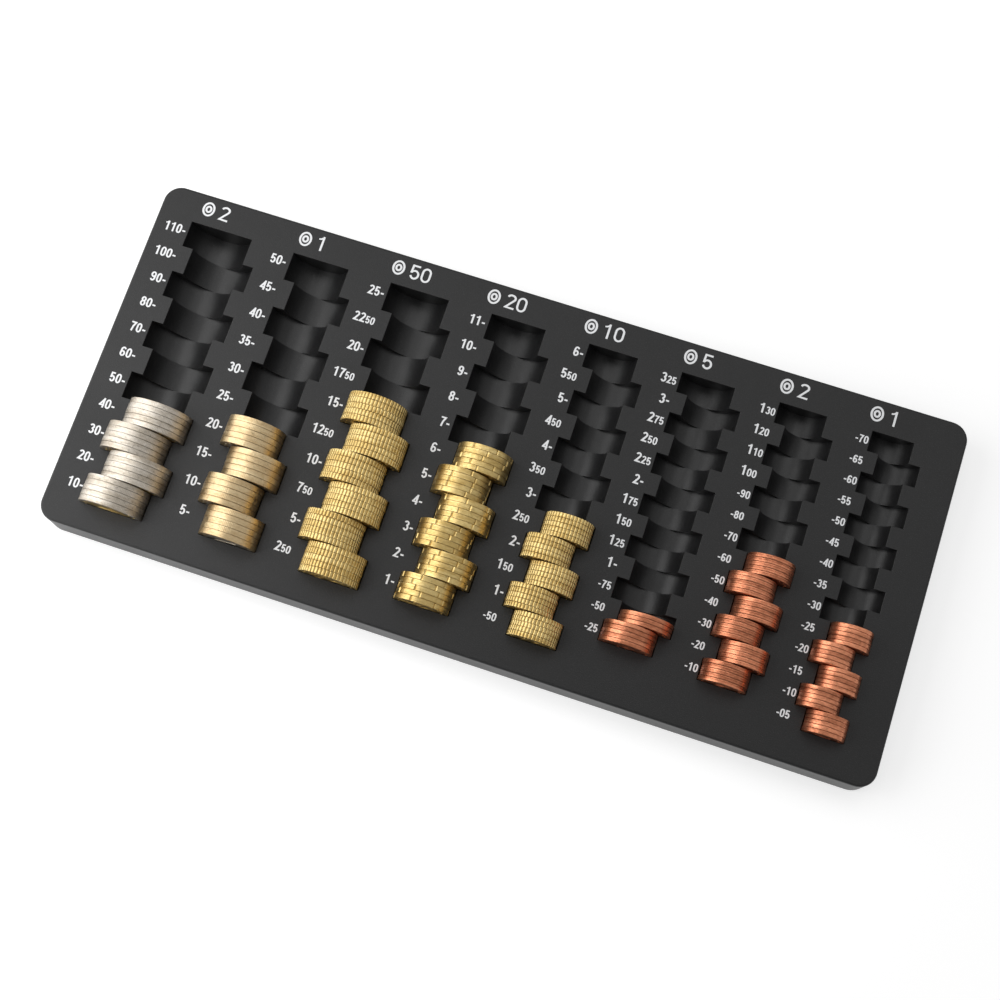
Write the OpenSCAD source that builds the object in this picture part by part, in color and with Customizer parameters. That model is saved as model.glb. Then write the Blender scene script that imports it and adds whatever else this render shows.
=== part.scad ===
// Coin counting tray.
// A low tray with eight channels, one for each coin size. Each channel is a row of half-round
// pockets, and every pocket holds five coins on edge. Neighbouring pockets step left and right,
// so that the piles of five stand out from each other and the scale beside them can be read.
// X runs across the channels, +Y points to the back, and the tray stands on Z = 0.

/* [Channel for coins of 200] */
// Diameter of the coin
coin_200_d = 25.75; // [22:0.05:28]
// Thickness of the coin
coin_200_t = 2.2; // [1.6:0.01:2.6]
// Spare length of a pocket beyond its coins
slack_200 = 0.3; // [0.2:0.05:0.8]
// Pockets in the channel
pockets_200 = 11; // [6:1:11]
// Full piles in the channel, counted from the front
piles_200 = 4; // [0:1:6]

/* [Channel for coins of 100] */
// Diameter of the coin
coin_100_d = 23.25; // [20:0.05:28]
// Thickness of the coin
coin_100_t = 2.33; // [1.6:0.01:2.6]
// Spare length of a pocket beyond its coins
slack_100 = 0.55; // [0.2:0.05:0.8]
// Pockets in the channel
pockets_100 = 10; // [6:1:10]
// Full piles in the channel, counted from the front
piles_100 = 4; // [0:1:6]

/* [Channel for coins of 50] */
// Diameter of the coin
coin_50_d = 24.25; // [20:0.05:28]
// Thickness of the coin
coin_50_t = 2.38; // [1.6:0.01:2.6]
// Spare length of a pocket beyond its coins
slack_50 = 0.45; // [0.2:0.05:0.8]
// Pockets in the channel
pockets_50 = 10; // [6:1:10]
// Full piles in the channel, counted from the front
piles_50 = 6; // [0:1:6]

/* [Channel for coins of 20] */
// Diameter of the coin
coin_20_d = 22.25; // [18:0.05:28]
// Thickness of the coin
coin_20_t = 2.14; // [1.6:0.01:2.6]
// Spare length of a pocket beyond its coins
slack_20 = 0.4; // [0.2:0.05:0.8]
// Pockets in the channel
pockets_20 = 11; // [6:1:11]
// Full piles in the channel, counted from the front
piles_20 = 6; // [0:1:6]

/* [Channel for coins of 10] */
// Diameter of the coin
coin_10_d = 19.75; // [16:0.05:28]
// Thickness of the coin
coin_10_t = 1.93; // [1.5:0.01:2.6]
// Spare length of a pocket beyond its coins
slack_10 = 0.5; // [0.2:0.05:0.8]
// Pockets in the channel
pockets_10 = 12; // [6:1:12]
// Full piles in the channel, counted from the front
piles_10 = 5; // [0:1:6]

/* [Channel for coins of 5] */
// Diameter of the coin
coin_5_d = 21.25; // [16:0.05:28]
// Thickness of the coin
coin_5_t = 1.67; // [1.4:0.01:2.6]
// Spare length of a pocket beyond its coins
slack_5 = 0.32; // [0.2:0.02:0.8]
// Pockets in the channel
pockets_5 = 13; // [6:1:13]
// Full piles in the channel, counted from the front
piles_5 = 1; // [0:1:6]
// Coins in the part-filled pocket behind the full piles
loose_5 = 3; // [0:1:4]

/* [Channel for coins of 2] */
// Diameter of the coin
coin_2_d = 18.75; // [14:0.05:28]
// Thickness of the coin
coin_2_t = 1.67; // [1.4:0.01:2.6]
// Spare length of a pocket beyond its coins
slack_2 = 0.52; // [0.2:0.02:0.8]
// Pockets in the channel
pockets_2 = 13; // [6:1:13]
// Full piles in the channel, counted from the front
piles_2 = 6; // [0:1:6]

/* [Channel for coins of 1] */
// Diameter of the coin
coin_1_d = 16.25; // [14:0.05:28]
// Thickness of the coin
coin_1_t = 1.67; // [1.4:0.01:2.6]
// Spare length of a pocket beyond its coins
slack_1 = 0.32; // [0.2:0.02:0.8]
// Pockets in the channel
pockets_1 = 14; // [6:1:14]
// Full piles in the channel, counted from the front
piles_1 = 5; // [0:1:6]

/* [Pockets] */
// Coins that one pocket holds
coins_per_pocket = 5; // [3:1:5]
// Gap between a coin's edge and the round floor
coin_clearance = 0.3; // [0.2:0.05:0.6]
// Height of the coins' axes above the deck
axis_rise = 0.8; // [0:0.1:3]
// Sideways step from one pocket to the next
stagger = 4.7; // [2:0.1:6]
// Radius of a pocket's two long edges at the deck
mouth_r = 0.4; // [0.2:0.05:0.8]

/* [Tray] */
// Width of deck between two channels
land_w = 18.5; // [14:0.1:24]
// Deck beside the outer channels
side_margin = 17.35; // [14:0.05:24]
// Deck in front of the longest channel
front_margin = 10.6; // [8:0.1:20]
// Deck behind the channels
back_margin = 13.25; // [8:0.05:24]
// Radius of the tray's upright corners, at deck height
corner_r = 7.2; // [5:0.1:12]
// Radius of the rounded edge round the deck
edge_r = 1; // [0.5:0.1:1.5]
// How far the skirt flares out from the deck to its foot
draft = 1; // [0.5:0.1:1.5]

/* [Moulding] */
// Thickness of the deck
deck_t = 2.2; // [1.6:0.1:3]
// Thickness of the skirt
skirt_t = 2.2; // [1.6:0.1:3]
// Wall thickness of the pockets
shell_t = 1.8; // [1.2:0.1:2.2]
// Height of the deepest pocket's floor above the table
floor_h = 2.6; // [2.4:0.1:5]
// Deck that a channel carries past its two ends
end_land = 3; // [2.2:0.1:5]
// Depth of the stiffening ribs below the deck
rib_h = 5; // [3:0.1:6]
// Thickness of the stiffening ribs
rib_t = 1.6; // [1:0.1:2.4]
// Ribs along the tray's depth
rib_count = 4; // [2:1:6]

/* [Coins] */
// Air between two coins of one pile
coin_gap = 0.03; // [0.02:0.01:0.04]
// Width of the raised rim on a coin's face
coin_rim_w = 1.1; // [0.6:0.1:2]
// Height of that rim above the face
coin_rim_h = 0.12; // [0.05:0.01:0.25]
// Chamfer between a coin's rim and its edge
coin_chamfer = 0.22; // [0.1:0.01:0.3]
// Width and depth of the groove round the coins of 2
groove_w = 0.5; // [0.3:0.05:0.8]
// Notches round the coins of 20
notch_count = 7; // [5:1:12]
// Radius of the cutter that makes a notch
notch_r = 0.8; // [0.5:0.05:1.2]
// Depth of a notch
notch_d = 0.45; // [0.2:0.05:0.6]

/* [Hidden] */
values = ["200", "100", "50", "20", "10", "5", "2", "1"];
last_channel = len(values) - 1;
coin_d = [coin_200_d, coin_100_d, coin_50_d, coin_20_d, coin_10_d, coin_5_d, coin_2_d, coin_1_d];
coin_t = [coin_200_t, coin_100_t, coin_50_t, coin_20_t, coin_10_t, coin_5_t, coin_2_t, coin_1_t];
slack = [slack_200, slack_100, slack_50, slack_20, slack_10, slack_5, slack_2, slack_1];
pockets = [pockets_200, pockets_100, pockets_50, pockets_20, pockets_10, pockets_5, pockets_2, pockets_1];
piles = [piles_200, piles_100, piles_50, piles_20, piles_10, piles_5, piles_2, piles_1];
loose = [0, 0, 0, 0, 0, loose_5, 0, 0];
notched = "20";
grooved = "2";

tray_colour = [0.17, 0.17, 0.18];
silver = [0.74, 0.72, 0.69];
gold = [0.80, 0.66, 0.36];
copper = [0.72, 0.42, 0.31];
coin_colour = [silver, gold, gold, gold, gold, copper, copper, copper];

// A pocket: its radius, its half width, width and length at deck height
function pocket_r(c) = coin_d[c] / 2 + coin_clearance;
function half_width(c) = sqrt(pow(pocket_r(c), 2) - pow(axis_rise, 2));
function pocket_w(c) = 2 * half_width(c);
function pocket_l(c) = coins_per_pocket * coin_t[c] + slack[c];
function channel_l(c) = pockets[c] * pocket_l(c);

// The tray's outline follows from its channels
function run_w(c) = c < 0 ? 0 : pocket_w(c) + land_w + run_w(c - 1);
longest = max([for (c = [0:last_channel]) channel_l(c)]);
deepest = max([for (c = [0:last_channel]) pocket_r(c)]) - axis_rise;
tray_w = run_w(last_channel) - land_w + 2 * side_margin;
tray_d = front_margin + longest + back_margin;
tray_h = floor_h + deepest;
axis_z = tray_h + axis_rise;
deck_z = tray_h - deck_t;
back_y = tray_d / 2 - back_margin;

// Places of a channel and of its pockets, which are counted from the back
function channel_x(c) = -tray_w / 2 + side_margin + run_w(c - 1) + pocket_w(c) / 2;
function side(k) = k % 2 == 0 ? -1 : 1;
function pocket_x(c, k) = channel_x(c) + side(k) * stagger / 2;
function pocket_y(c, k) = back_y - (k + 1) * pocket_l(c);

// The strip of deck that carries one channel
function strip_w(c) = pocket_w(c) + land_w;
function strip_x(c) = channel_x(c) - strip_w(c) / 2;
strips_w = run_w(last_channel);
strip_l = longest + 2 * end_land;
strip_y = back_y + end_land - strip_l;

// Piles, which are counted from the front
function pile_total(c) = piles[c] + (loose[c] > 0 ? 1 : 0);
function pile_coins(c, j) = j < piles[c] ? coins_per_pocket : loose[c];
function pile_l(c, n) = n * coin_t[c] + (n - 1) * coin_gap;

function channel_name(c) = str("channel_", values[c]);
function pile_name(c, j) = str("coins_", values[c], "_pile_", j + 1);

$fn = 96;
over = 1;        // how far a cut runs past what it cuts
join = 0.4;      // how far a rib runs into what carries it
mouth_bite = 0.04; // how far the arc of a pocket's edge crosses the deck and the wall
turn = 137.5;    // turn from one notched coin to the next, so that notches don't line up

// A straight stretch of the tray's wall, seen from its end: flared sides and rounded top edges
module wall_section(w, h, flare, edge) {
    top = h - edge;
    polygon([
        [-w / 2 - flare, 0], [w / 2 + flare, 0], [w / 2, top],
        [w / 2 - edge, h], [edge - w / 2, h], [-w / 2, top]
    ]);
    if (edge > 0)
        for (s = [-1, 1]) translate([s * (w / 2 - edge), top]) circle(r = edge);
}

// One upright corner of the wall, as a turned solid
module wall_corner(r, h, flare, edge) {
    rotate_extrude()
        intersection() {
            wall_section(2 * r, h, flare, edge);
            square([r + flare + over, h]);
        }
}

// A block with rounded upright corners, flared sides and a rounded top edge
module flared_block(w, d, h, r, flare, edge) {
    rotate([90, 0, 0])
        linear_extrude(height = d - 2 * r, center = true) wall_section(w, h, flare, edge);
    rotate([90, 0, 90])
        linear_extrude(height = w - 2 * r, center = true) wall_section(d, h, flare, edge);
    for (sx = [-1, 1]) for (sy = [-1, 1])
        translate([sx * (w / 2 - r), sy * (d / 2 - r), 0]) wall_corner(r, h, flare, edge);
}

// The ribs' places along the tray's depth
function rib_y(i) = strip_y + (i + 0.5) * strip_l / rib_count - rib_t / 2;

// Ribs between the skirt and the channels
module frame_ribs() {
    reach = tray_w / 2 - skirt_t + join - strips_w / 2;
    for (i = [0:rib_count - 1]) for (s = [0, 1])
        mirror([s, 0, 0]) translate([strips_w / 2, rib_y(i), deck_z - rib_h])
            cube([reach, rib_t, rib_h + join]);
    back_reach = tray_d / 2 - skirt_t + join - (strip_y + strip_l);
    front_reach = strip_y + tray_d / 2 - skirt_t + join;
    for (c = [0:last_channel]) {
        translate([channel_x(c) - rib_t / 2, strip_y + strip_l, deck_z - rib_h])
            cube([rib_t, back_reach, rib_h + join]);
        translate([channel_x(c) - rib_t / 2, strip_y - front_reach, deck_z - rib_h])
            cube([rib_t, front_reach, rib_h + join]);
    }
}

// Skirt and outer border of the deck
module frame() {
    color(tray_colour) {
        difference() {
            flared_block(tray_w, tray_d, tray_h, corner_r, draft, edge_r);
            translate([0, 0, -over])
                flared_block(tray_w - 2 * skirt_t, tray_d - 2 * skirt_t, deck_z + over,
                    corner_r - skirt_t, draft, 0);
            translate([-strips_w / 2, strip_y, 0]) cube([strips_w, strip_l, tray_h + over]);
        }
        frame_ribs();
    }
}

// A bar along Y with a pocket's round section
module pocket_bar(c, k, r, before, after) {
    translate([pocket_x(c, k), pocket_y(c, k) - before, axis_z])
        rotate([-90, 0, 0]) cylinder(r = r, h = pocket_l(c) + before + after);
}

// What rounds a pocket's long edges, seen from its end with the deck at 0. Its arcs cross the deck and the
// pocket's wall at a small angle instead of only touching them.
module mouth_section(c) {
    centre = half_width(c) + mouth_r - mouth_bite;
    difference() {
        translate([-centre, mouth_bite - mouth_r]) square([2 * centre, mouth_r + over]);
        for (s = [-1, 1]) translate([s * centre, mouth_bite - mouth_r]) circle(r = mouth_r);
    }
}

// The room inside one pocket: a half-round floor and rounded long edges
module pocket_room(c, k) {
    pocket_bar(c, k, pocket_r(c), 0, 0);
    translate([pocket_x(c, k), pocket_y(c, k) + pocket_l(c), tray_h])
        rotate([90, 0, 0]) linear_extrude(height = pocket_l(c)) mouth_section(c);
}

// One channel: a strip of deck with its row of staggered pockets hanging below
module channel(c) {
    color(tray_colour) difference() {
        union() {
            translate([strip_x(c), strip_y, deck_z]) cube([strip_w(c), strip_l, deck_t]);
            intersection() {
                union() for (k = [0:pockets[c] - 1])
                    pocket_bar(c, k, pocket_r(c) + shell_t, shell_t, shell_t);
                translate([strip_x(c), strip_y, 0]) cube([strip_w(c), strip_l, deck_z + join]);
            }
            for (i = [0:rib_count - 1])
                translate([strip_x(c), rib_y(i), deck_z - rib_h])
                    cube([strip_w(c), rib_t, rib_h + join]);
        }
        for (k = [0:pockets[c] - 1]) pocket_room(c, k);
    }
}

// Half of a coin's section, from its axis outward: raised rims, chamfers and the groove of the 2
module coin_section(c) {
    r = coin_d[c] / 2;
    t = coin_t[c];
    field = r - coin_chamfer - coin_rim_w;
    difference() {
        polygon([
            [0, coin_rim_h], [field, coin_rim_h], [field + coin_rim_h, 0], [r - coin_chamfer, 0],
            [r, coin_chamfer], [r, t - coin_chamfer], [r - coin_chamfer, t],
            [field + coin_rim_h, t], [field, t - coin_rim_h], [0, t - coin_rim_h]
        ]);
        if (values[c] == grooved) translate([r, t / 2]) circle(r = groove_w / 2);
    }
}

// One coin lying on Z = 0, turned by a given angle
module coin(c, angle) {
    rotate([0, 0, angle]) difference() {
        rotate_extrude() coin_section(c);
        if (values[c] == notched) for (i = [0:notch_count - 1])
            rotate([0, 0, i * 360 / notch_count])
                translate([coin_d[c] / 2 + notch_r - notch_d, 0, -over])
                    cylinder(r = notch_r, h = coin_t[c] + 2 * over);
    }
}

// One pile of coins on edge in its pocket, pushed to the pocket's front when it isn't full
module pile(c, j) {
    n = pile_coins(c, j);
    k = pockets[c] - 1 - j;
    spare = pocket_l(c) - pile_l(c, coins_per_pocket);
    color(coin_colour[c])
        translate([pocket_x(c, k), pocket_y(c, k) + spare / 2, axis_z])
            for (i = [0:n - 1])
                translate([0, i * (coin_t[c] + coin_gap), 0])
                    rotate([-90, 0, 0]) coin(c, turn * (i + coins_per_pocket * j));
}

frame();
for (c = [0:last_channel])
    channel(c);
for (c = [0:last_channel]) for (j = [0:1:pile_total(c) - 1])
    pile(c, j);
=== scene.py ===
"""Coin counting tray: the tray's matt moulding, its printed scale and the coins that lie in it."""

import functools
import math
import random

import bmesh
import bpy
import numpy as np
from mathutils import Matrix, Vector
from mathutils.geometry import delaunay_2d_cdt


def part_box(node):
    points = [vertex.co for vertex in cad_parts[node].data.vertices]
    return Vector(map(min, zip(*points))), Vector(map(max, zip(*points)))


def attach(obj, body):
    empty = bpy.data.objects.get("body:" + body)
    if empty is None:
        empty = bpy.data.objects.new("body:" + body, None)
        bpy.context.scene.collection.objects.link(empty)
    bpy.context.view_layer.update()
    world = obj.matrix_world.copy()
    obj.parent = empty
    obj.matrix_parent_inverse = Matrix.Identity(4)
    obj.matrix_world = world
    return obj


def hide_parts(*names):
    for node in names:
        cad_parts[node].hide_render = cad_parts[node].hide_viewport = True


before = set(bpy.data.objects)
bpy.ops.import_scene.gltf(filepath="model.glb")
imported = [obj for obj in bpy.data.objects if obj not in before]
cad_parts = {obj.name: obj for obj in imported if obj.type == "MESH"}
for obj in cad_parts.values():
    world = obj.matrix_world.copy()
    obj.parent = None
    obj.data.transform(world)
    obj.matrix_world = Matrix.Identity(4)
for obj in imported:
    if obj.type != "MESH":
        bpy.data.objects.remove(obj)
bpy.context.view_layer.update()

MM = 0.001
VALUES = (200, 100, 50, 20, 10, 5, 2, 1)


# ---------------------------------------------------------------- places, from the frame


class Channel:
    """Where one channel and its pockets are. Pockets are counted from the front."""

    def __init__(self, value):
        strip_low, strip_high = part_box(f"channel_{value}")
        first_low, first_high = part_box(f"coins_{value}_pile_1")
        second_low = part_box(f"coins_{value}_pile_2")[0]
        self.x = (strip_low.x + strip_high.x) / 2
        self.coin_r = (first_high.x - first_low.x) / 2
        self.pitch = second_low.y - first_low.y
        self.first_y = (first_low.y + first_high.y) / 2
        self.stagger = abs((first_low.x + first_high.x) / 2 - self.x)
        self.left_x = self.x - self.stagger - math.sqrt(self.coin_r**2 - AXIS_RISE**2)

    def pocket_y(self, k):
        return self.first_y + k * self.pitch


DECK_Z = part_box("frame")[1].z
AXIS_RISE = (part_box("coins_200_pile_1")[0].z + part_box("coins_200_pile_1")[1].z) / 2 - DECK_Z
POCKETS = {200: 11, 100: 10, 50: 10, 20: 11, 10: 12, 5: 13, 2: 13, 1: 14}
PILES = {200: 4, 100: 4, 50: 6, 20: 6, 10: 5, 5: 2, 2: 6, 1: 5}
COINS_IN_POCKET = 5
COIN_GAP = 0.03 * MM
channels = {value: Channel(value) for value in VALUES}


# ---------------------------------------------------------------- node helpers


def new_material(name):
    """An empty material with its node tree, shader and output."""
    material = bpy.data.materials.new(name)
    material.use_nodes = True
    tree = material.node_tree
    tree.nodes.clear()
    shader = tree.nodes.new("ShaderNodeBsdfPrincipled")
    output = tree.nodes.new("ShaderNodeOutputMaterial")
    tree.links.new(shader.outputs["BSDF"], output.inputs["Surface"])
    return material, tree, shader


def noise(tree, coordinates, scale, detail=2.0, roughness=0.5):
    """Noise in object coordinates. The scale is in cycles a metre."""
    node = tree.nodes.new("ShaderNodeTexNoise")
    node.inputs["Scale"].default_value = scale
    node.inputs["Detail"].default_value = detail
    node.inputs["Roughness"].default_value = roughness
    tree.links.new(coordinates, node.inputs["Vector"])
    return node.outputs["Fac"]


def remap(tree, value, low, high, to_low=0.0, to_high=1.0):
    """Maps low..high to to_low..to_high, clamped."""
    node = tree.nodes.new("ShaderNodeMapRange")
    for name, number in (("From Min", low), ("From Max", high), ("To Min", to_low), ("To Max", to_high)):
        node.inputs[name].default_value = number
    tree.links.new(value, node.inputs["Value"])
    return node.outputs["Result"]


def math_node(tree, operation, a, b):
    """One math node on two values, each a number or a socket."""
    node = tree.nodes.new("ShaderNodeMath")
    node.operation = operation
    for socket, value in zip(node.inputs, (a, b)):
        if isinstance(value, (int, float)):
            socket.default_value = value
        else:
            tree.links.new(value, socket)
    return node.outputs["Value"]


def mix_colour(tree, factor, a, b):
    """Blends two colours, each a tuple or a socket."""
    node = tree.nodes.new("ShaderNodeMix")
    node.data_type = "RGBA"
    tree.links.new(factor, node.inputs["Factor"])
    for name, colour in (("A", a), ("B", b)):
        socket = next(s for s in node.inputs if s.name == name and s.type == "RGBA")
        if isinstance(colour, tuple):
            socket.default_value = (*colour, 1)
        else:
            tree.links.new(colour, socket)
    return next(s for s in node.outputs if s.type == "RGBA")


def bump(tree, height, distance):
    """A bumped normal. A height of 1 stands that many metres above a height of 0."""
    node = tree.nodes.new("ShaderNodeBump")
    node.inputs["Distance"].default_value = distance
    tree.links.new(height, node.inputs["Height"])
    return node.outputs["Normal"]


def object_coordinates(tree):
    return tree.nodes.new("ShaderNodeTexCoord").outputs["Object"]


def squeezed(tree, coordinates, share):
    """Coordinates that run slower along X and Z, so a pattern is drawn out round the coins' edges."""
    node = tree.nodes.new("ShaderNodeMapping")
    node.vector_type = "POINT"
    node.inputs["Scale"].default_value = (share, 1.0, share)
    tree.links.new(coordinates, node.inputs["Vector"])
    return node.outputs["Vector"]


# ---------------------------------------------------------------- materials


# Nearly all noise lies between these.
NOISE_LOW = 0.3
NOISE_HIGH = 0.7
# Tones are linear. Roughness and grain change from the pockets to the deck.
PLASTIC_DARK = (0.007, 0.007, 0.0073)
PLASTIC_PALE = (0.010, 0.010, 0.0103)
SPECK_TONE = (0.050, 0.050, 0.051)
SPECK_STRENGTH = 0.5
POCKET_ROUGHNESS = 0.37
DECK_ROUGHNESS = 0.50
ROUGHNESS_SPREAD = 0.03
POCKET_GRAIN = 0.3
GRAIN_BUMP = 0.10 * MM
PLASTIC_SPECULAR = 0.5
INK_DULL = (0.84, 0.85, 0.87)
INK_BRIGHT = (0.94, 0.95, 0.96)
INK_ROUGHNESS = 0.55
INK_BUMP = 0.01 * MM
COIN_BUMP = 0.03 * MM
COIN_ROUGHER = 0.08
COIN_SMOOTHER = 0.06
GRIME_SHADE = 0.3
PATCH_SHARE = 0.4
SCRATCH_SHARE = 0.6
WORN_BY_COIN = 0.55
WORN_BY_PLACE = 0.45


def tray_material():
    """Matt black moulded plastic. The deck is grained and the pockets are smoother."""
    material, tree, shader = new_material("tray_plastic")
    place = object_coordinates(tree)
    height = tree.nodes.new("ShaderNodeSeparateXYZ")
    tree.links.new(place, height.inputs["Vector"])
    on_deck = remap(tree, height.outputs["Z"], low=DECK_Z - 1.0 * MM, high=DECK_Z - 0.2 * MM)
    grain = noise(tree, place, scale=2000, detail=3.0, roughness=0.65)
    cloud = noise(tree, place, scale=28, detail=3.0, roughness=0.55)
    speck = remap(tree, noise(tree, place, scale=3200, detail=1.0), low=0.60, high=0.72)
    tone = mix_colour(tree, cloud, PLASTIC_DARK, PLASTIC_PALE)
    tone = mix_colour(tree, math_node(tree, "MULTIPLY", speck, SPECK_STRENGTH), tone, SPECK_TONE)
    tree.links.new(tone, shader.inputs["Base Color"])
    level = remap(tree, on_deck, 0.0, 1.0, to_low=POCKET_ROUGHNESS, to_high=DECK_ROUGHNESS)
    uneven = remap(tree, cloud, NOISE_LOW, NOISE_HIGH, -ROUGHNESS_SPREAD, ROUGHNESS_SPREAD)
    tree.links.new(math_node(tree, "ADD", level, uneven), shader.inputs["Roughness"])
    shader.inputs["Specular IOR Level"].default_value = PLASTIC_SPECULAR
    share = remap(tree, on_deck, 0.0, 1.0, to_low=POCKET_GRAIN)
    grained = math_node(tree, "MULTIPLY", grain, share)
    tree.links.new(bump(tree, grained, GRAIN_BUMP), shader.inputs["Normal"])
    return material


def ink_material():
    """Thin white printing ink."""
    material, tree, shader = new_material("scale_ink")
    place = object_coordinates(tree)
    cloud = noise(tree, place, scale=900)
    tree.links.new(mix_colour(tree, cloud, INK_DULL, INK_BRIGHT), shader.inputs["Base Color"])
    shader.inputs["Roughness"].default_value = INK_ROUGHNESS
    tree.links.new(bump(tree, cloud, INK_BUMP), shader.inputs["Normal"])
    return material


def coin_material(name, bright, dull, roughness, dirt):
    """Worn coin metal. Tone differs from coin to coin, with tarnished patches and fine scratches."""
    material, tree, shader = new_material(name)
    place = object_coordinates(tree)
    by_coin = noise(tree, squeezed(tree, place, share=0.1), scale=520, detail=1.0)
    by_coin = remap(tree, by_coin, low=0.38, high=0.62)
    patch = noise(tree, place, scale=260, detail=4.0, roughness=0.65)
    fine = noise(tree, squeezed(tree, place, share=0.35), scale=1900, detail=3.0, roughness=0.6)
    worn = math_node(tree, "MULTIPLY", patch, PATCH_SHARE)
    worn = math_node(tree, "ADD", worn, math_node(tree, "MULTIPLY", fine, SCRATCH_SHARE))
    worn = remap(tree, worn, low=0.40, high=0.60, to_high=WORN_BY_PLACE)
    worn = math_node(tree, "ADD", worn, math_node(tree, "MULTIPLY", by_coin, WORN_BY_COIN))
    tone = mix_colour(tree, worn, dull, bright)
    grime = noise(tree, place, scale=900, detail=3.0, roughness=0.7)
    grime = remap(tree, grime, low=0.56, high=0.70, to_high=dirt)
    tone = mix_colour(tree, grime, tone, tuple(GRIME_SHADE * c for c in dull))
    tree.links.new(tone, shader.inputs["Base Color"])
    roughest = roughness + COIN_ROUGHER
    smoothest = roughness - COIN_SMOOTHER
    polish = remap(tree, fine, NOISE_LOW, NOISE_HIGH, to_low=roughest, to_high=smoothest)
    tree.links.new(polish, shader.inputs["Roughness"])
    shader.inputs["Metallic"].default_value = 1.0
    tree.links.new(bump(tree, fine, COIN_BUMP), shader.inputs["Normal"])
    return material


TRAY = tray_material()
INK = ink_material()
SILVER = coin_material(
    "silver_coin", bright=(0.68, 0.625, 0.55), dull=(0.44, 0.38, 0.30), roughness=0.40, dirt=0.5
)
GOLD = coin_material(
    "gold_coin", bright=(0.79, 0.61, 0.27), dull=(0.53, 0.36, 0.12), roughness=0.36, dirt=0.4
)
PALE_GOLD = coin_material(
    "pale_gold_coin", bright=(0.76, 0.60, 0.36), dull=(0.57, 0.41, 0.22), roughness=0.37, dirt=0.4
)
COPPER = coin_material(
    "copper_coin", bright=(0.93, 0.38, 0.21), dull=(0.42, 0.145, 0.075), roughness=0.36, dirt=0.35
)

for node in ("frame", *(f"channel_{value}" for value in VALUES)):
    for material_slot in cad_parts[node].material_slots:
        material_slot.material = TRAY


# ---------------------------------------------------------------- printed numbers


class Pen:
    """One style of numeral, in shares of the digit's height.

    The width is the digit's own. Upright and level are how thick strokes that run that way are, and the
    advance is from one digit to the next.
    """

    def __init__(self, width, upright, level, advance):
        self.width = width
        self.x = upright / 2
        self.y = level / 2
        self.advance = advance


BOLD = Pen(width=0.55, upright=0.18, level=0.155, advance=0.63)
PLAIN = Pen(width=0.64, upright=0.135, level=0.125, advance=0.75)
DASH_ADVANCE = 0.45
RING_W = 0.84
RING_ADVANCE = 1.0
JOIN_TOLERANCE = 1e-5
SHARPEST_MITRE = 0.5


def arc(centre, radii, start, stop, steps=12):
    """Points on an ellipse from one angle to another, in degrees."""
    angles = np.radians(np.linspace(start, stop, steps + 1))
    return [(centre[0] + radii[0] * math.cos(a), centre[1] + radii[1] * math.sin(a)) for a in angles]


def loop(centre, radii, count):
    """That many points round a whole ellipse."""
    return arc(centre, radii, 0, 360 - 360 / count, count - 1)


def stroke(points, pen, closed=False):
    """The quads that a pen covers along a path. Its corners are mitred."""
    points = np.array(points)
    ahead = np.roll(points, -1, axis=0) - points
    behind = np.roll(ahead, 1, axis=0)
    if not closed:
        ahead[-1] = ahead[-2]
        behind[0] = ahead[0]
    ahead = ahead / np.linalg.norm(ahead, axis=1, keepdims=True)
    behind = behind / np.linalg.norm(behind, axis=1, keepdims=True)
    across = ahead + behind
    across = np.stack([-across[:, 1], across[:, 0]], axis=1)
    across = across / np.linalg.norm(across, axis=1, keepdims=True)
    turn = np.abs(ahead[:, 0] * across[:, 1] - ahead[:, 1] * across[:, 0])
    offset = across * (pen.x, pen.y) / np.maximum(turn, SHARPEST_MITRE)[:, None]
    left = points + offset
    right = points - offset
    count = len(points)
    pairs = [(k, (k + 1) % count) for k in range(count if closed else count - 1)]
    return [[right[a], right[b], left[b], left[a]] for a, b in pairs]


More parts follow.
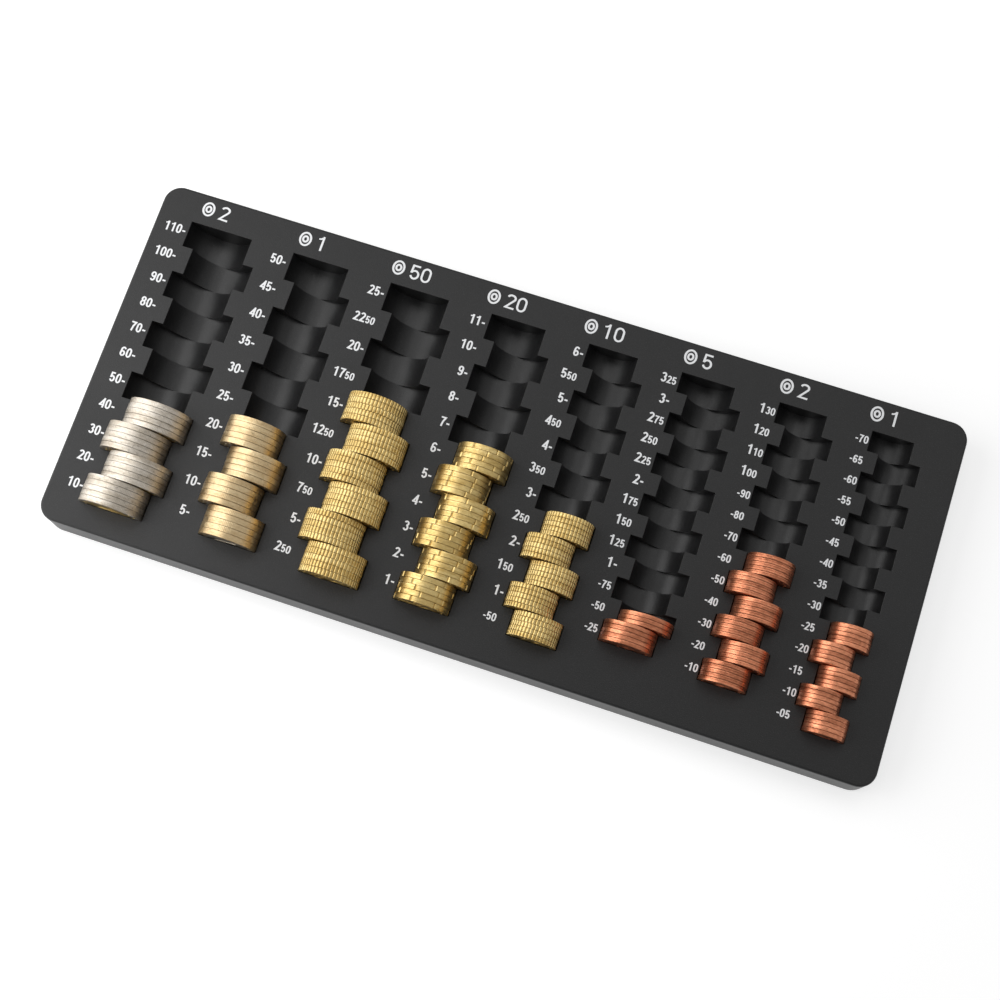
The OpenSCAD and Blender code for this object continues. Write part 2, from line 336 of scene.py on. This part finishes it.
def digit_strokes(character, pen):
    """The flat shapes that make up one digit, a dash or a ring.

    The digit is 1 high and stands on 0. Its places and radii are shares of that height.
    """
    left = pen.x
    right = pen.width - pen.x
    middle = pen.width / 2
    low = pen.y
    high = 1 - pen.y
    wide = (right - left) / 2
    waist = 0.535
    bowl = (waist - low) / 2
    cap = (high - waist) / 2
    round_end = 0.27
    ring = loop((middle, low + bowl), (wide, bowl), 24)
    if character == "0":
        top = arc((middle, high - round_end), (wide, round_end), 0, 180)
        return stroke(top + arc((middle, low + round_end), (wide, round_end), 180, 360), pen, True)
    if character == "1":
        stem = middle + pen.x / 2
        flag = arc((stem - 0.30, 1.02), (0.30, 0.24), 270, 330, 5)
        flag_pen = Pen(width=0, upright=2 * pen.x, level=1.6 * pen.y, advance=0)
        return stroke([(stem, 0), (stem, 1)], pen) + stroke(flag, flag_pen)
    if character == "2":
        top = arc((middle, high - 0.20), (wide, 0.20), 165, -35)
        return stroke(top + [(left + 0.01, low + 0.01), (right + pen.x, low)], pen)
    if character == "3":
        upper = arc((middle - 0.01, high - cap), (wide - 0.01, cap), 160, -90)
        lower = arc((middle, low + bowl), (wide, bowl), 90, -160)
        return stroke(upper, pen) + stroke(lower, pen)
    if character == "4":
        stem = right - 0.03
        level = 0.27
        upright = stroke([(stem, 0), (stem, 1)], pen)
        bar = stroke([(0, level), (right + pen.x, level)], pen)
        return upright + bar + stroke([(left, level), (stem, high)], pen)
    if character == "5":
        belly_y = 0.335
        belly = arc((middle, belly_y), (wide, belly_y - low), 150, -160)
        return stroke([(right, high), (left + 0.04, high), (left + 0.01, 0.42)], pen) + stroke(belly, pen)
    if character == "6":
        hook = arc((middle + 0.02, high - 0.25), (wide, 0.25), 25, 180) + [(left, 0.32)]
        return stroke(ring, pen, True) + stroke(hook, pen)
    if character == "7":
        return stroke([(0.02, high), (right, high), (middle, 0.48), (middle - 0.06, 0)], pen)
    if character == "8":
        upper = loop((middle, high - cap), (wide - 0.015, cap), 24)
        return stroke(upper, pen, True) + stroke(ring, pen, True)
    if character == "9":
        return [[(pen.width - x, 1 - y) for x, y in quad] for quad in digit_strokes("6", pen)]
    if character == "-":
        return stroke([(0.04, 0.38), (0.36, 0.38)], Pen(width=0, upright=0, level=0.16, advance=0))
    if character == "o":
        outer = loop((RING_W / 2, 0.5), (RING_W / 2 - pen.x, 0.5 - pen.y), 45)
        inner = loop((RING_W / 2, 0.5), (0.16, 0.19), 24)
        return stroke(outer, pen, True) + stroke(inner, pen, True)
    raise ValueError(character)


def prism(shapes, low, high):
    """One closed prism over the union of flat shapes, standing along Z: corners and faces."""
    flat = [Vector((float(x), float(y))) for shape in shapes for x, y in shape]
    faces = []
    start = 0
    for shape in shapes:
        turning = sum(a[0] * b[1] - b[0] * a[1] for a, b in zip(shape, [*shape[1:], shape[0]]))
        ring = list(range(start, start + len(shape)))
        faces.append(ring if turning > 0 else ring[::-1])
        start += len(shape)
    corners, _, triangles, _, _, owners = delaunay_2d_cdt(flat, [], faces, 0, JOIN_TOLERANCE)
    covered = [tuple(t) for t, owner in zip(triangles, owners) if owner]
    inner = {(a, b) for t in covered for a, b in zip(t, (*t[1:], t[0]))}
    count = len(corners)
    points = [(c.x, c.y, z) for z in (low, high) for c in corners]
    solid = [tuple(i + count for i in t) for t in covered] + [t[::-1] for t in covered]
    solid += [(a, b, b + count, a + count) for a, b in sorted(inner) if (b, a) not in inner]
    return np.array(points), solid


class Builder:
    """Gathers points and faces for one piece."""

    def __init__(self):
        self.points = []
        self.faces = []
        self.finishes = []
        self.count = 0

    def add(self, points, faces, finish=0):
        """Takes in one shape. The finish is a material's place in the piece's list, or one for each face."""
        self.points.append(points)
        self.faces += [tuple(i + self.count for i in face) for face in faces]
        self.finishes += finish if isinstance(finish, list) else [finish] * len(faces)
        self.count += len(points)

    def make(self, name, body, materials, crease):
        """The finished piece, riding on its body. Edges sharper than the crease angle stay sharp."""
        mesh = bpy.data.meshes.new(name)
        mesh.from_pydata(np.concatenate(self.points).tolist(), [], self.faces)
        for material in materials:
            mesh.materials.append(material)
        mesh.polygons.foreach_set("material_index", self.finishes)
        used = bmesh.new()
        used.from_mesh(mesh)
        bmesh.ops.delete(used, geom=[v for v in used.verts if not v.link_faces], context="VERTS")
        used.to_mesh(mesh)
        used.free()
        mesh.shade_smooth()
        mesh.set_sharp_from_angle(angle=math.radians(crease))
        piece = bpy.data.objects.new(name, mesh)
        bpy.context.scene.collection.objects.link(piece)
        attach(piece, body)
        return piece


INK_LOW = DECK_Z - 0.05 * MM
INK_HIGH = DECK_Z + 0.04 * MM
INK_CREASE = 40
LABEL_H = 4.05 * MM
SMALL_H = 3.2 * MM
# In millimetres for each channel: how far a label's middle is above its pocket's middle, how far its
# end is from the pocket, and where the heading's number starts, from the channel's middle.
LABEL_RISE = {200: 1.1, 100: 1.4, 50: 1.0, 20: 1.1, 10: 0.4, 5: 0.2, 2: 0.1, 1: 0.3}
LABEL_GAP = {200: 1.1, 100: 1.7, 50: 1.2, 20: 1.4, 10: 1.1, 5: 1.5, 2: 1.0, 1: 0.9}
HEADING_X = {200: -5.8, 100: -6.7, 50: -8.9, 20: -10.2, 10: -9.0, 5: -6.9, 2: -6.15, 1: -5.8}
HEADING_H = 6.3 * MM
HEADING_Y = 64.8 * MM
HEADING_RING_GAP = 2.4 * MM


@functools.cache
def glyph(character, pen):
    """One character as a prism, 1 high, with its own ink thickness in metres."""
    return prism(digit_strokes(character, pen), INK_LOW, INK_HIGH)


def write(builder, text, x, y, height, pen):
    """Writes a line of characters from x on and returns where it ends."""
    for character in text:
        points, faces = glyph(character, pen)
        builder.add(points * (height, height, 1) + (x, y, 0), faces)
        x += line_width(character, height, pen)
    return x


def line_width(text, height, pen):
    """How far a line of characters reaches, with the space after each."""
    widths = {"-": DASH_ADVANCE, "o": RING_ADVANCE}
    return sum(widths.get(character, pen.advance) * height for character in text)


def face_number(value):
    """The number that a coin and its channel's heading show."""
    return str(value // 100 if value >= 100 else value)


def label_parts(value, count):
    """What stands beside a pocket, as large and small characters: the worth of the coins up to it.

    Only the channel of 2s writes whole units with both zeros.
    """
    units, rest = divmod(COINS_IN_POCKET * value * count, 100)
    if units == 0:
        return "", f"-{rest:02d}"
    if rest == 0 and value != 2:
        return f"{units}-", ""
    return f"{units}", f"{rest:02d}"


def print_scale(value):
    """The numbers beside one channel and above it."""
    channel = channels[value]
    ink = Builder()
    for k in range(POCKETS[value]):
        large, small = label_parts(value, k + 1)
        width = line_width(large, LABEL_H, BOLD) + line_width(small, SMALL_H, BOLD)
        last = BOLD.advance - BOLD.width
        end = channel.left_x - LABEL_GAP[value] * MM + last * (SMALL_H if small else 0)
        base = channel.pocket_y(k) + LABEL_RISE[value] * MM - LABEL_H / 2
        start = write(ink, large, end - width, base, LABEL_H, BOLD)
        write(ink, small, start, base, SMALL_H, BOLD)
    start = channel.x + HEADING_X[value] * MM
    ring_x = start - HEADING_RING_GAP - RING_W * HEADING_H
    write(ink, "o", ring_x, HEADING_Y, HEADING_H, PLAIN)
    write(ink, face_number(value), start, HEADING_Y, HEADING_H, PLAIN)
    ink.make(f"scale_{value}", "tray", [INK], INK_CREASE)


# ---------------------------------------------------------------- coins


class Mint:
    """How one size of coin is struck.

    The edge has a number of marks of a certain depth, and is drawn with so many parts round the coin. Worn
    is how far its corners are rounded down from the faces. Lengths are in metres.
    """

    def __init__(self, slot, metal, parts, core=None, edge="smooth", marks=0, depth=0.0, worn=0.10 * MM):
        self.slot = slot
        self.metal = metal
        self.core = core
        self.edge = edge
        self.marks = marks
        self.depth = depth
        self.parts = parts
        self.worn = worn


MINTS = {
    200: Mint("silver_coin", SILVER, 480, core=GOLD, edge="reeds", marks=120, depth=0.06 * MM),
    100: Mint("gold_coin", PALE_GOLD, 432, core=SILVER, edge="part reeds", marks=108, depth=0.06 * MM),
    50: Mint("gold_coin", GOLD, 392, edge="scallops", marks=49, depth=0.34 * MM, worn=0.12 * MM),
    20: Mint("gold_coin", GOLD, 280, edge="notches", marks=7, depth=0.32 * MM),
    10: Mint("gold_coin", GOLD, 320, edge="scallops", marks=40, depth=0.34 * MM, worn=0.12 * MM),
    5: Mint("copper_coin", COPPER, 120, worn=0.15 * MM),
    2: Mint("copper_coin", COPPER, 120, edge="groove", depth=0.16 * MM, worn=0.15 * MM),
    1: Mint("copper_coin", COPPER, 120, worn=0.15 * MM),
}
RIM_W = 1.1 * MM
RIM_H = 0.14 * MM
RIM_SLOPE_W = 0.15 * MM
EDGE_FALL = 0.32 * MM
GROOVE_TOP = 0.20 * MM
GROOVE_FLOOR = 0.12 * MM
# Where the rim starts to bend, in edge falls, and where the edge is straight again, in worn corners.
BEND_START = 1.2
BEND_END = 1.8
# How much of the edge pattern shows on the rim's flat and on the worn corner.
PATTERN_ON_RIM = 0.25
PATTERN_ON_CORNER = 0.8
# Circles on the face, in shares of the coin's radius.
CORE_SHARE = 0.73
FLAT_IN_CORE = 0.35
FLAT_ON_PLAIN = 0.5
REED_SECTORS = 6
# A scallop is a bowed lobe between two joints. Widths are in lobes and depths in shares of the depth.
SCALLOP_HALF_W = 0.2
SCALLOP_CUT = 0.85
SCALLOP_BOW = 0.15
# A third of a notch is its floor, and a third is the slope on each side.
NOTCH_W = 0.8 * MM
NOTCH_SLOPE_W = NOTCH_W / 3

# The number and beads on a face. Shares are of the coin's radius.
NUMBER_SHARE = 0.85
BEADS = 16
BEAD_SIDES = 8
BEAD_CIRCLE_SHARE = 0.80
BEAD_SHARE = 0.035
RELIEF_LOW = -0.05 * MM
RELIEF_HIGH = 0.12 * MM

# How coins settle: the way they drop, in degrees from straight down, how far, in millimetres, and how
# far scalloped coins are from a turn of whole lobes, in lobes.
SEED = 7
LEAN_MAX = 32
DROP_MIN = 0.20
DROP_MAX = 0.28
LOBE_SLIP = 0.12
COIN_CREASE = 35


def coin_thickness(value):
    """Five coins and the four narrow gaps between them fill the pile's box from front to back."""
    low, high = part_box(f"coins_{value}_pile_1")
    return (high.y - low.y + COIN_GAP) / COINS_IN_POCKET - COIN_GAP


def edge_depth(mint, angles, radius):
    """How deep the edge pattern cuts at each angle, from 0 to 1."""
    reeds = 0.5 - 0.5 * np.cos(mint.marks * angles)
    if mint.edge == "reeds":
        return reeds
    if mint.edge == "part reeds":
        ribbed = np.floor(angles / (math.tau / REED_SECTORS)) % 2 == 0
        return np.where(ribbed, reeds, 0.0)
    if mint.edge == "scallops":
        away = np.abs((mint.marks * angles / math.tau + 0.5) % 1 - 0.5)
        joint = np.clip(1 - away / SCALLOP_HALF_W, 0, 1)
        return SCALLOP_CUT * joint + SCALLOP_BOW * (1 - 2 * away) ** 2
    if mint.edge == "notches":
        step = math.tau / mint.marks
        away = np.abs((angles + step / 2) % step - step / 2) * radius
        return np.clip(1.5 - away / NOTCH_SLOPE_W, 0, 1)
    return np.zeros_like(angles)


def half_profile(mint, radius, half):
    """Rows from inside the face to the edge's middle: radius, height, and the edge pattern's share."""
    flat = half - RIM_H
    inner = radius - RIM_W
    if mint.core:
        rows = [(FLAT_IN_CORE * radius, flat, 0), (CORE_SHARE * radius, flat, 0)]
    else:
        rows = [(FLAT_ON_PLAIN * radius, flat, 0)]
    rows += [(inner - RIM_SLOPE_W, flat, 0), (inner, half, 0)]
    rows.append((radius - BEND_START * EDGE_FALL, half, PATTERN_ON_RIM))
    for turn in (30, 60):
        a = math.radians(turn)
        down = mint.worn * (1 - math.cos(a))
        rows.append((radius - EDGE_FALL * (1 - math.sin(a)), half - down, PATTERN_ON_CORNER))
    rows += [(radius, half - mint.worn, 1.0), (radius, half - BEND_END * mint.worn, 1.0)]
    if mint.edge == "groove":
        rows += [(radius, GROOVE_TOP, 0), (radius - mint.depth, GROOVE_FLOOR, 0)]
    return rows


@functools.cache
def blank(value):
    """A struck coin lying about the Y axis at the origin: points, faces and the metal of each face."""
    mint = MINTS[value]
    radius = channels[value].coin_r
    half = coin_thickness(value) / 2
    rows = half_profile(mint, radius, half)
    rows += [(r, -y, share) for r, y, share in rows[::-1]]
    angles = np.arange(mint.parts) / mint.parts * math.tau
    cut = edge_depth(mint, angles, radius) * mint.depth
    rings = []
    for r, y, share in rows:
        reach = r - share * cut
        level = np.full(mint.parts, y)
        rings.append(np.stack([reach * np.cos(angles), level, reach * np.sin(angles)], axis=1))
    flat = half - RIM_H
    points = np.concatenate([*rings, [[0, flat, 0], [0, -flat, 0]]])
    pairs = [(i, (i + 1) % mint.parts) for i in range(mint.parts)]
    faces = []
    metals = []
    for k in range(len(rows) - 1):
        a = k * mint.parts
        b = a + mint.parts
        faces += [(a + j, b + j, b + i, a + i) for i, j in pairs]
        core = mint.core is not None and k in (0, len(rows) - 2)
        metals += [1 if core else 0] * mint.parts
    last = (len(rows) - 1) * mint.parts
    back = len(points) - 2
    front = len(points) - 1
    faces += [(back, j, i) for i, j in pairs]
    faces += [(front, last + i, last + j) for i, j in pairs]
    metals += [1 if mint.core else 0] * (2 * mint.parts)
    return points, faces, metals


@functools.cache
def face_relief(value):
    """A plain number and a ring of beads, raised on a coin's face. It faces +Z at the origin."""
    radius = channels[value].coin_r
    number = face_number(value)
    height = NUMBER_SHARE * radius
    width = line_width(number, height, PLAIN) - (PLAIN.advance - PLAIN.width) * height
    shapes = []
    for place, character in enumerate(number):
        shift = place * PLAIN.advance * height - width / 2
        for quad in digit_strokes(character, PLAIN):
            shapes.append([(x * height + shift, (y - 0.5) * height) for x, y in quad])
    for k in range(BEADS):
        a = math.tau * (k + 0.5) / BEADS
        centre = (BEAD_CIRCLE_SHARE * radius * math.cos(a), BEAD_CIRCLE_SHARE * radius * math.sin(a))
        shapes.append(loop(centre, (BEAD_SHARE * radius, BEAD_SHARE * radius), BEAD_SIDES))
    # The shapes are joined in millimetres, so that they are large beside the join's tolerance.
    scale = 1000
    enlarged = [[(x * scale, y * scale) for x, y in shape] for shape in shapes]
    points, faces = prism(enlarged, RELIEF_LOW, RELIEF_HIGH)
    return points / (scale, scale, 1), faces


def add_pile(value, pile, chance):
    """The coins of one pocket, standing on edge.

    Each settles a little to one side by chance and is turned by chance. Scalloped coins turn by nearly
    whole lobes, so that their edges line up roughly.
    """
    node = f"coins_{value}_pile_{pile}"
    low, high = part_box(node)
    mint = MINTS[value]
    thickness = coin_thickness(value)
    points, faces, metals = blank(value)
    count = round((high.y - low.y + COIN_GAP) / (thickness + COIN_GAP))
    centre_x = (low.x + high.x) / 2
    centre_z = (low.z + high.z) / 2
    coins = Builder()
    for k in range(count):
        lean = math.radians(chance.uniform(-LEAN_MAX, LEAN_MAX))
        drop = chance.uniform(DROP_MIN, DROP_MAX) * MM
        spin = chance.uniform(0, math.tau)
        if mint.edge == "scallops":
            lobe = math.tau / mint.marks
            spin = (round(spin / lobe) + chance.uniform(-LOBE_SLIP, LOBE_SLIP)) * lobe
        middle = Vector((
            centre_x + drop * math.sin(lean),
            low.y + thickness / 2 + k * (thickness + COIN_GAP),
            centre_z - drop * math.cos(lean),
        ))
        turn = np.array(Matrix.Rotation(spin, 3, "Y"))
        coins.add(points @ turn.T + np.array(middle), faces, metals)
        for side, outer in ((-1, k == 0), (1, k == count - 1)):
            if outer:
                relief, relief_faces = face_relief(value)
                upright = np.array(Matrix.Rotation(math.radians(-90 * side), 3, "X"))
                if side > 0:
                    upright = upright @ np.array(Matrix.Rotation(math.pi, 3, "Z"))
                raised = relief + (0, 0, thickness / 2 - RIM_H)
                placed = raised @ upright.T @ turn.T + np.array(middle)
                coins.add(placed, relief_faces, 1 if mint.core else 0)
    metals_used = [mint.metal, mint.core] if mint.core else [mint.metal]
    piece = coins.make(f"coin_pile_{value}_{pile}", f"coins_{value}", metals_used, COIN_CREASE)
    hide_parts(node)


for value in VALUES:
    print_scale(value)

chance = random.Random(SEED)
for value in VALUES:
    for pile in range(1, PILES[value] + 1):
        add_pile(value, pile, chance)


# ---------------------------------------------------------------- floor, lamps and camera


FLOOR_HALF = 3.0
FLOOR_TONE = 0.62
FLOOR_IN_MIRROR = 0.7
# The floor's glow rises from near the tray to far away. Distances are from the middle.
NEAR = 0.25
FAR = 1.1
GLOW_NEAR = 0.60
GLOW_FAR = 0.85
WORLD_STRENGTH = 0.25
WORLD_SEEN_STRENGTH = 1.0
# The camera's sensor and lens are in millimetres, and its turn is in degrees about X, Y and Z.
SENSOR_W = 36
LENS = 50.2
CLIP_START = 0.01
CLIP_END = 20
CAMERA_PLACE = (0.0512, -0.1181, 0.5492)
CAMERA_TURN = (12.31, 1.33, 18.37)


def white_seen_directly(tree, shader, strength):
    """Adds white light for camera rays, and less of it in reflections, so that the ground looks white."""
    path = tree.nodes.new("ShaderNodeLightPath")
    mirrored = math_node(tree, "MULTIPLY", path.outputs["Is Glossy Ray"], FLOOR_IN_MIRROR)
    seen = math_node(tree, "MAXIMUM", path.outputs["Is Camera Ray"], mirrored)
    glow = tree.nodes.new("ShaderNodeEmission")
    tree.links.new(math_node(tree, "MULTIPLY", seen, strength), glow.inputs["Strength"])
    total = tree.nodes.new("ShaderNodeAddShader")
    tree.links.new(shader, total.inputs[0])
    tree.links.new(glow.outputs["Emission"], total.inputs[1])
    return total.outputs["Shader"]


def add_floor():
    """A wide pale floor. It keeps the tray's soft shadow, and far from the lamps it stays white."""
    corners = [(x * FLOOR_HALF, y * FLOOR_HALF, 0) for x, y in ((-1, -1), (1, -1), (1, 1), (-1, 1))]
    mesh = bpy.data.meshes.new("floor")
    mesh.from_pydata(corners, [], [(0, 1, 2, 3)])
    floor = bpy.data.objects.new("floor", mesh)
    bpy.context.scene.collection.objects.link(floor)
    material = bpy.data.materials.new("floor")
    material.use_nodes = True
    tree = material.node_tree
    tree.nodes.clear()
    diffuse = tree.nodes.new("ShaderNodeBsdfDiffuse")
    diffuse.inputs["Color"].default_value = (FLOOR_TONE, FLOOR_TONE, FLOOR_TONE, 1)
    away = tree.nodes.new("ShaderNodeVectorMath")
    away.operation = "LENGTH"
    tree.links.new(object_coordinates(tree), away.inputs[0])
    strength = remap(tree, away.outputs["Value"], NEAR, FAR, GLOW_NEAR, GLOW_FAR)
    surface = white_seen_directly(tree, diffuse.outputs["BSDF"], strength)
    output = tree.nodes.new("ShaderNodeOutputMaterial")
    tree.links.new(surface, output.inputs["Surface"])
    mesh.materials.append(material)


def add_world():
    """An even surround, dim as a light and white where the camera sees it."""
    world = bpy.data.worlds.new("studio")
    bpy.context.scene.world = world
    world.use_nodes = True
    tree = world.node_tree
    tree.nodes.clear()
    path = tree.nodes.new("ShaderNodeLightPath")
    background = tree.nodes.new("ShaderNodeBackground")
    background.inputs["Color"].default_value = (1, 1, 1, 1)
    seen = path.outputs["Is Camera Ray"]
    strength = remap(tree, seen, 0.0, 1.0, to_low=WORLD_STRENGTH, to_high=WORLD_SEEN_STRENGTH)
    tree.links.new(strength, background.inputs["Strength"])
    output = tree.nodes.new("ShaderNodeOutputWorld")
    tree.links.new(background.outputs["Background"], output.inputs["Surface"])


def add_lamp(name, place, aim, width, height, power):
    """A soft rectangular lamp, turned to face a point. Lengths are in metres and power is in watts."""
    lamp = bpy.data.lights.new(name, "AREA")
    lamp.shape = "RECTANGLE"
    lamp.size = width
    lamp.size_y = height
    lamp.energy = power
    lamp_object = bpy.data.objects.new(name, lamp)
    lamp_object.location = place
    lamp_object.rotation_euler = (Vector(aim) - Vector(place)).to_track_quat("-Z", "Y").to_euler()
    bpy.context.scene.collection.objects.link(lamp_object)


def add_camera():
    """The photograph's viewpoint: above the tray, a little in front of it, and turned."""
    camera = bpy.data.cameras.new("camera")
    camera.sensor_width = SENSOR_W
    camera.lens = LENS
    camera.clip_start = CLIP_START
    camera.clip_end = CLIP_END
    camera_object = bpy.data.objects.new("camera", camera)
    camera_object.location = CAMERA_PLACE
    camera_object.rotation_euler = [math.radians(a) for a in CAMERA_TURN]
    bpy.context.scene.collection.objects.link(camera_object)
    bpy.context.scene.camera = camera_object


add_floor()
add_world()
add_lamp("key", place=(-0.50, -0.16, 0.22), aim=(0, 0, 0), width=0.9, height=0.4, power=2.3)
add_lamp("sheen", place=(-0.36, 0, 0.46), aim=(-0.15, 0, 0), width=0.5, height=0.3, power=1.0)
add_lamp("side", place=(0.70, 0.05, 0.58), aim=(0, 0, 0), width=0.9, height=1.0, power=1.0)
add_lamp("top", place=(0, 0.55, 1.1), aim=(0, 0, 0), width=0.9, height=0.7, power=2.6)
add_camera()

bpy.context.scene.view_settings.view_transform = "Standard"
